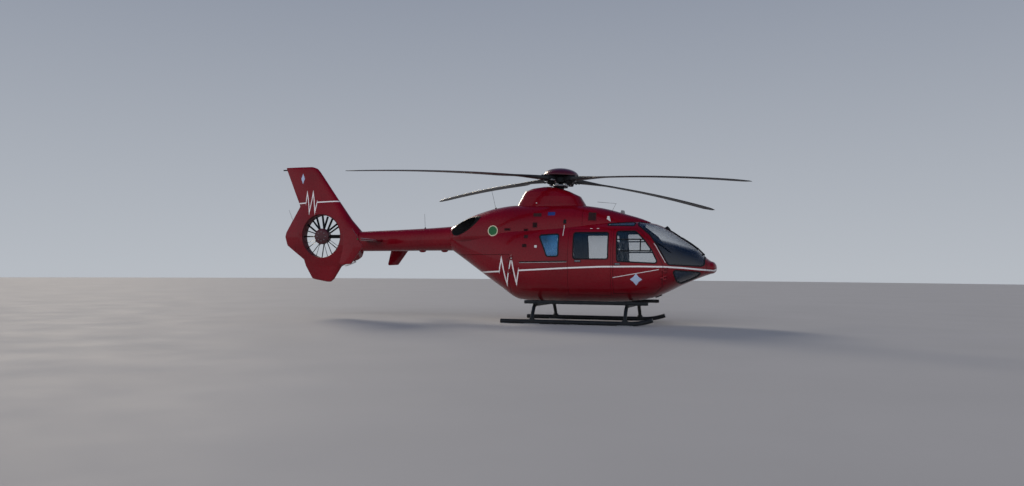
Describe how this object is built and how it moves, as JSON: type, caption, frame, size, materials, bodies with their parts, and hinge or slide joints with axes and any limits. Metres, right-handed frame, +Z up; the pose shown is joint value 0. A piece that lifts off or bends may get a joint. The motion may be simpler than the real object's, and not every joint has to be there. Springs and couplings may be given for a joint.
{
  "type": "light twin-engine helicopter with a shrouded tail rotor",
  "caption": "Light helicopter on tubular skids with a bearingless main rotor, a ducted fan in its fin, hinged front doors and rear clamshell doors.",
  "frame": {"origin": "on the ground, under the middle of the whole aircraft's length", "axes": "+X to the nose, +Y to port, +Z up"},
  "size_m": [11.1702, 8.2692, 3.6],
  "materials": {
    "hull_paint": "gloss",
    "shell_paint": "gloss",
    "cap_paint": "gloss",
    "glazing": "gloss",
    "cabin_panels": "satin",
    "panel_black": "matte",
    "seat_cloth": "matte",
    "machinery": "satin",
    "exhaust_metal": "satin",
    "gear_black": "satin",
    "hub_metal": "satin",
    "fan_grey": "satin",
    "blade_grey": "satin"
  },
  "bodies": {
    "airframe": {"nose_cap": "shell_paint", "lower_fuselage": "hull_paint", "cabin_frame": "hull_paint", "aft_fuselage": "hull_paint", "sliding_door_left": "hull_paint", "sliding_door_right": "hull_paint", "cowl_forward": "shell_paint", "cowl_engine_left": "shell_paint", "cowl_engine_right": "shell_paint", "gearbox_fairing": "shell_paint", "tail_boom": "shell_paint", "stabiliser": "shell_paint", "fin": "shell_paint", "windscreen_left": "glazing", "windscreen_right": "glazing", "rear_window_left": "glazing", "rear_window_right": "glazing", "chin_window_left": "glazing", "chin_window_right": "glazing", "roof_window_left": "glazing", "roof_window_right": "glazing", "sliding_window_left": "glazing", "sliding_window_right": "glazing", "cabin_floor": "cabin_panels", "load_floor": "cabin_panels", "instrument_panel": "panel_black", "pilot_seat_left": "seat_cloth", "pilot_seat_right": "seat_cloth", "cabin_seat_left": "seat_cloth", "cabin_seat_right": "seat_cloth", "engine_left": "machinery", "engine_right": "machinery", "gearbox": "machinery", "exhaust_left": "exhaust_metal", "exhaust_right": "exhaust_metal", "cross_tube_front": "gear_black", "cross_tube_rear": "gear_black", "skid_left": "gear_black", "skid_right": "gear_black", "step_left": "gear_black", "step_right": "gear_black", "tail_stator": "fan_grey"},
    "main_rotor": {"rotor_hub": "hub_metal", "hub_cap": "cap_paint", "main_blade_1": "blade_grey", "main_blade_2": "blade_grey", "main_blade_3": "blade_grey", "main_blade_4": "blade_grey"},
    "tail_rotor": {"tail_fan": "fan_grey"},
    "front_door_left": {"front_door_left": "hull_paint", "front_window_left": "glazing"},
    "front_door_right": {"front_door_right": "hull_paint", "front_window_right": "glazing"},
    "clamshell_left": {"clamshell_left": "hull_paint"},
    "clamshell_right": {"clamshell_right": "hull_paint"}
  },
  "joints": [
    {"name": "main_rotor_spin", "type": "hinge", "parent": "airframe", "child": "main_rotor", "pos_m": [1.4649, 0, 3.125], "axis": [0.0366, 0, 0.9993], "continuous": true},
    {"name": "tail_rotor_spin", "type": "hinge", "parent": "airframe", "child": "tail_rotor", "pos_m": [-4.4501, -0.06, 1.902], "axis": [0, 1, 0], "continuous": true},
    {"name": "front_door_left_swing", "type": "hinge", "parent": "airframe", "child": "front_door_left", "pos_m": [3.8009, 0.722, 1.06], "axis": [0, 0, -1], "range_deg": [0, 80]},
    {"name": "front_door_right_swing", "type": "hinge", "parent": "airframe", "child": "front_door_right", "pos_m": [3.8009, -0.722, 1.06], "axis": [0, 0, 1], "range_deg": [0, 80]},
    {"name": "clamshell_left_swing", "type": "hinge", "parent": "airframe", "child": "clamshell_left", "pos_m": [0.5209, 0.792, 1.24], "axis": [0, 0, -1], "range_deg": [0, 95]},
    {"name": "clamshell_right_swing", "type": "hinge", "parent": "airframe", "child": "clamshell_right", "pos_m": [0.5209, -0.792, 1.24], "axis": [0, 0, 1], "range_deg": [0, 95]}
  ]
}
